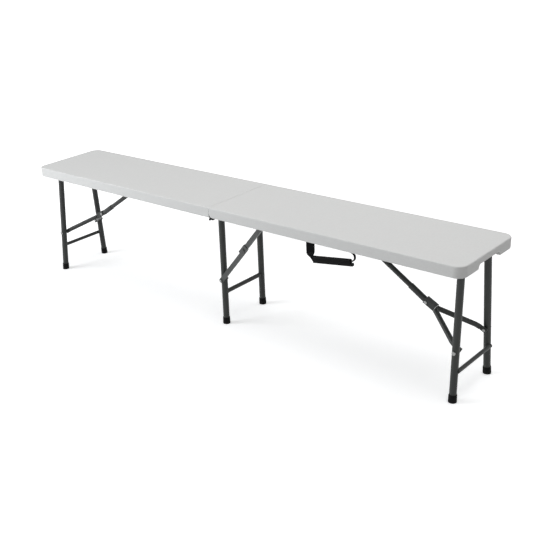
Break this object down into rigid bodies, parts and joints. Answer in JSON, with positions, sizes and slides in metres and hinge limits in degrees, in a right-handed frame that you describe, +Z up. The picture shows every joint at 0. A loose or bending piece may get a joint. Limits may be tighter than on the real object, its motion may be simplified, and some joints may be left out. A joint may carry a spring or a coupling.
{
  "type": "folding bench",
  "caption": "Long narrow bench that folds in half, with a pale moulded seat on steel rails, folding tubular leg frames, locking braces and a carrying handle.",
  "frame": {"origin": "on the floor, under the middle of the bench in its length and its width", "axes": "+X along the bench towards the half that carries the centre legs and the handle, +Y across it away from the handle, +Z up"},
  "size_m": [1.83, 0.305, 0.44],
  "materials": {
    "moulded_plastic": "pale grey-white moulded polyethylene, finely grained and half matt",
    "coated_steel": "dark grey powder coat, half matt",
    "black_steel": "black coated steel, half matt",
    "plated_steel": "zinc plated, half bright",
    "foot_rubber": "black moulded rubber, matt",
    "grip_plastic": "black moulded plastic, matt",
    "webbing": "black woven strap"
  },
  "bodies": {
    "seat_right": {"seat_right": "moulded_plastic", "rail_right_front": "coated_steel", "rail_right_back": "coated_steel", "hinge_leaf_right_front": "black_steel", "hinge_leaf_right_back": "black_steel", "hinge_pin_front": "black_steel", "hinge_pin_back": "black_steel", "brace_rod_right": "coated_steel", "stay_post": "plated_steel", "strap_anchor_left": "webbing", "strap_anchor_right": "webbing"},
    "seat_left": {"seat_left": "moulded_plastic", "rail_left_front": "coated_steel", "rail_left_back": "coated_steel", "hinge_leaf_left_front": "black_steel", "hinge_leaf_left_back": "black_steel", "brace_rod_left": "coated_steel"},
    "legs_centre": {"pivot_tube_centre": "coated_steel", "stretcher_centre": "coated_steel", "leg_centre_front": "coated_steel", "leg_centre_back": "coated_steel", "foot_centre_front": "foot_rubber", "foot_centre_back": "foot_rubber", "stay_leg_rivet": "plated_steel"},
    "stay_upper": {"stay_upper": "coated_steel", "stay_rivet": "plated_steel"},
    "stay_lower": {"stay_lower": "coated_steel", "stay_clasp": "coated_steel"},
    "handle": {"handle_grip": "grip_plastic", "handle_strap_left": "webbing", "handle_strap_right": "webbing"},
    "legs_right": {"pivot_tube_right": "coated_steel", "stretcher_right": "coated_steel", "leg_right_front": "coated_steel", "leg_right_back": "coated_steel", "foot_right_front": "foot_rubber", "foot_right_back": "foot_rubber", "arm_rivet_right_front": "plated_steel", "arm_rivet_right_back": "plated_steel"},
    "stem_right": {"brace_stem_right": "coated_steel", "brace_rivet_right": "plated_steel"},
    "fork_right": {"brace_yoke_right": "coated_steel", "brace_arm_right_front": "coated_steel", "brace_arm_right_back": "coated_steel"},
    "ring_right": {"lock_ring_right": "coated_steel"},
    "legs_left": {"pivot_tube_left": "coated_steel", "stretcher_left": "coated_steel", "leg_left_front": "coated_steel", "leg_left_back": "coated_steel", "foot_left_front": "foot_rubber", "foot_left_back": "foot_rubber", "arm_rivet_left_front": "plated_steel", "arm_rivet_left_back": "plated_steel"},
    "stem_left": {"brace_stem_left": "coated_steel", "brace_rivet_left": "plated_steel"},
    "fork_left": {"brace_yoke_left": "coated_steel", "brace_arm_left_front": "coated_steel", "brace_arm_left_back": "coated_steel"},
    "ring_left": {"lock_ring_left": "coated_steel"}
  },
  "joints": [
    {"name": "seat_fold", "type": "hinge", "parent": "seat_right", "child": "seat_left", "pos_m": [0, 0, 0.398], "axis": [0, -1, 0], "range_deg": [0, 180]},
    {"name": "leg_fold_right", "type": "hinge", "parent": "seat_right", "child": "legs_right", "pos_m": [0.872, 0, 0.415], "axis": [0, 1, 0], "range_deg": [0, 91.8]},
    {"name": "stem_turn_right", "type": "hinge", "parent": "seat_right", "child": "stem_right", "pos_m": [0.45, 0, 0.42], "axis": [0, -1, 0], "range_deg": [0, 32.94]},
    {"name": "fork_turn_right", "type": "hinge", "parent": "stem_right", "child": "fork_right", "pos_m": [0.73024, 0, 0.23842], "axis": [0, 1, 0], "range_deg": [0, 182.5]},
    {"name": "ring_slide_right", "type": "slide", "parent": "stem_right", "child": "ring_right", "axis": [-0.8392, 0, 0.5438], "range_m": [0, 0.05]},
    {"name": "leg_fold_left", "type": "hinge", "parent": "seat_left", "child": "legs_left", "pos_m": [-0.872, 0, 0.415], "axis": [0, -1, 0], "range_deg": [0, 91.8]},
    {"name": "stem_turn_left", "type": "hinge", "parent": "seat_left", "child": "stem_left", "pos_m": [-0.45, 0, 0.42], "axis": [0, 1, 0], "range_deg": [0, 32.94]},
    {"name": "fork_turn_left", "type": "hinge", "parent": "stem_left", "child": "fork_left", "pos_m": [-0.73024, 0, 0.23842], "axis": [0, -1, 0], "range_deg": [0, 182.5]},
    {"name": "ring_slide_left", "type": "slide", "parent": "stem_left", "child": "ring_left", "axis": [0.8392, 0, 0.5438], "range_m": [0, 0.05]},
    {"name": "leg_fold_centre", "type": "hinge", "parent": "seat_right", "child": "legs_centre", "pos_m": [0.004, 0, 0.415], "axis": [0, -1, 0], "range_deg": [0, 90]},
    {"name": "stay_upper_turn", "type": "hinge", "parent": "seat_right", "child": "stay_upper", "pos_m": [0.213, -0.124, 0.418], "axis": [0, 1, 0], "range_deg": [0, 50.22]},
    {"name": "stay_lower_turn", "type": "hinge", "parent": "stay_upper", "child": "stay_lower", "pos_m": [0.12099, -0.12, 0.3075], "axis": [0, -1, 0], "range_deg": [0, 179.06]},
    {"name": "handle_swing", "type": "hinge", "parent": "seat_right", "child": "handle", "pos_m": [0.47, -0.132, 0.3985], "axis": [-1, 0, 0], "range_deg": [0, 90]}
  ],
  "couplings": [
    {"joint": "leg_fold_right", "follows": "seat_fold", "ratio": 0.51001},
    {"joint": "stem_turn_right", "follows": "seat_fold", "ratio": 0.18302},
    {"joint": "fork_turn_right", "follows": "seat_fold", "ratio": 1.0139},
    {"joint": "ring_slide_right", "follows": "seat_fold", "m_per_rad": 0.015915},
    {"joint": "leg_fold_left", "follows": "seat_fold", "ratio": 0.51001},
    {"joint": "stem_turn_left", "follows": "seat_fold", "ratio": 0.18302},
    {"joint": "fork_turn_left", "follows": "seat_fold", "ratio": 1.0139},
    {"joint": "ring_slide_left", "follows": "seat_fold", "m_per_rad": 0.015915},
    {"joint": "leg_fold_centre", "follows": "seat_fold", "ratio": 0.50001},
    {"joint": "stay_upper_turn", "follows": "seat_fold", "ratio": 0.27899},
    {"joint": "stay_lower_turn", "follows": "seat_fold", "ratio": 0.99479},
    {"joint": "handle_swing", "follows": "seat_fold", "ratio": 0.50001}
  ]
}
